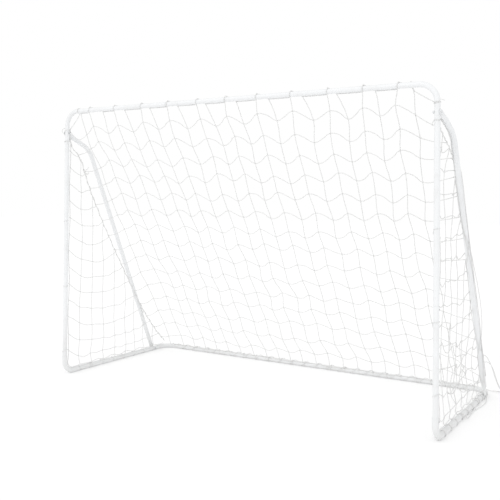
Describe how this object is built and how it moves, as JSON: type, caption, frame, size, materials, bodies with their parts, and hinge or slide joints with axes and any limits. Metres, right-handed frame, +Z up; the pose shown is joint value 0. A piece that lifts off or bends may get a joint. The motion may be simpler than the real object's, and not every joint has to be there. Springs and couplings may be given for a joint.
{
  "type": "soccer goal frame",
  "caption": "Knock-down soccer goal: rounded white tube frame with a U-shaped ground frame, bent side braces, push-button joints and a slanted knotted net.",
  "frame": {"origin": "on the ground, at the middle of the footprint", "axes": "+X along the goal line to the right as seen from the field, +Y from the mouth to the back of the goal, +Z up"},
  "size_m": [2.178, 1.0054, 1.52],
  "materials": {
    "white_tube": "smooth white powder coat, semi-gloss",
    "zinc_fasteners": "bright zinc",
    "button_steel": "turned, zinc plated",
    "spring_steel": "tempered strip, oiled",
    "net_twine": "white braided polyethylene twine",
    "tie_cord": "white braided cord"
  },
  "bodies": {
    "frame": {"crossbar_middle": "white_tube", "upper_corner_left": "white_tube", "upper_corner_right": "white_tube", "lower_upright_left": "white_tube", "lower_upright_right": "white_tube", "lower_corner_left": "white_tube", "lower_corner_right": "white_tube", "rear_corner_left": "white_tube", "rear_corner_right": "white_tube", "rear_bar_middle": "white_tube", "brace_left": "white_tube", "brace_right": "white_tube", "brace_bolts": "zinc_fasteners", "brace_washers": "zinc_fasteners", "brace_nuts": "zinc_fasteners", "net_back": "net_twine", "net_left": "net_twine", "net_right": "net_twine", "net_ties": "tie_cord", "button_spring_crossbar_left": "spring_steel", "button_spring_crossbar_right": "spring_steel", "button_spring_upright_left": "spring_steel", "button_spring_upright_right": "spring_steel", "button_spring_corner_top_left": "spring_steel", "button_spring_corner_top_right": "spring_steel", "button_spring_corner_rear_left": "spring_steel", "button_spring_corner_rear_right": "spring_steel", "button_spring_rear_bar_left": "spring_steel", "button_spring_rear_bar_right": "spring_steel"},
    "button_crossbar_left": {"snap_button_crossbar_left": "button_steel"},
    "button_crossbar_right": {"snap_button_crossbar_right": "button_steel"},
    "button_upright_left": {"snap_button_upright_left": "button_steel"},
    "button_upright_right": {"snap_button_upright_right": "button_steel"},
    "button_corner_top_left": {"snap_button_corner_top_left": "button_steel"},
    "button_corner_top_right": {"snap_button_corner_top_right": "button_steel"},
    "button_corner_rear_left": {"snap_button_corner_rear_left": "button_steel"},
    "button_corner_rear_right": {"snap_button_corner_rear_right": "button_steel"},
    "button_rear_bar_left": {"snap_button_rear_bar_left": "button_steel"},
    "button_rear_bar_right": {"snap_button_rear_bar_right": "button_steel"}
  },
  "joints": [
    {"name": "press_crossbar_left", "type": "slide", "parent": "frame", "child": "button_crossbar_left", "axis": [0, -1, 0], "range_m": [0, 0.0035], "stiffness_N_per_m": 2000, "springref_m": -0.0015, "deforming": ["button_spring_crossbar_left"]},
    {"name": "press_crossbar_right", "type": "slide", "parent": "frame", "child": "button_crossbar_right", "axis": [0, -1, 0], "range_m": [0, 0.0035], "stiffness_N_per_m": 2000, "springref_m": -0.0015, "deforming": ["button_spring_crossbar_right"]},
    {"name": "press_upright_left", "type": "slide", "parent": "frame", "child": "button_upright_left", "axis": [1, 0, 0], "range_m": [0, 0.0035], "stiffness_N_per_m": 2000, "springref_m": -0.0015, "deforming": ["button_spring_upright_left"]},
    {"name": "press_upright_right", "type": "slide", "parent": "frame", "child": "button_upright_right", "axis": [-1, 0, 0], "range_m": [0, 0.0035], "stiffness_N_per_m": 2000, "springref_m": -0.0015, "deforming": ["button_spring_upright_right"]},
    {"name": "press_corner_top_left", "type": "slide", "parent": "frame", "child": "button_corner_top_left", "axis": [1, 0, 0], "range_m": [0, 0.0038], "stiffness_N_per_m": 2000, "springref_m": -0.0015, "deforming": ["button_spring_corner_top_left"]},
    {"name": "press_corner_top_right", "type": "slide", "parent": "frame", "child": "button_corner_top_right", "axis": [-1, 0, 0], "range_m": [0, 0.0038], "stiffness_N_per_m": 2000, "springref_m": -0.0015, "deforming": ["button_spring_corner_top_right"]},
    {"name": "press_corner_rear_left", "type": "slide", "parent": "frame", "child": "button_corner_rear_left", "axis": [1, 0, 0], "range_m": [0, 0.0038], "stiffness_N_per_m": 2000, "springref_m": -0.0015, "deforming": ["button_spring_corner_rear_left"]},
    {"name": "press_corner_rear_right", "type": "slide", "parent": "frame", "child": "button_corner_rear_right", "axis": [-1, 0, 0], "range_m": [0, 0.0038], "stiffness_N_per_m": 2000, "springref_m": -0.0015, "deforming": ["button_spring_corner_rear_right"]},
    {"name": "press_rear_bar_left", "type": "slide", "parent": "frame", "child": "button_rear_bar_left", "axis": [0, -1, 0], "range_m": [0, 0.0035], "stiffness_N_per_m": 2000, "springref_m": -0.0015, "deforming": ["button_spring_rear_bar_left"]},
    {"name": "press_rear_bar_right", "type": "slide", "parent": "frame", "child": "button_rear_bar_right", "axis": [0, -1, 0], "range_m": [0, 0.0035], "stiffness_N_per_m": 2000, "springref_m": -0.0015, "deforming": ["button_spring_rear_bar_right"]}
  ]
}
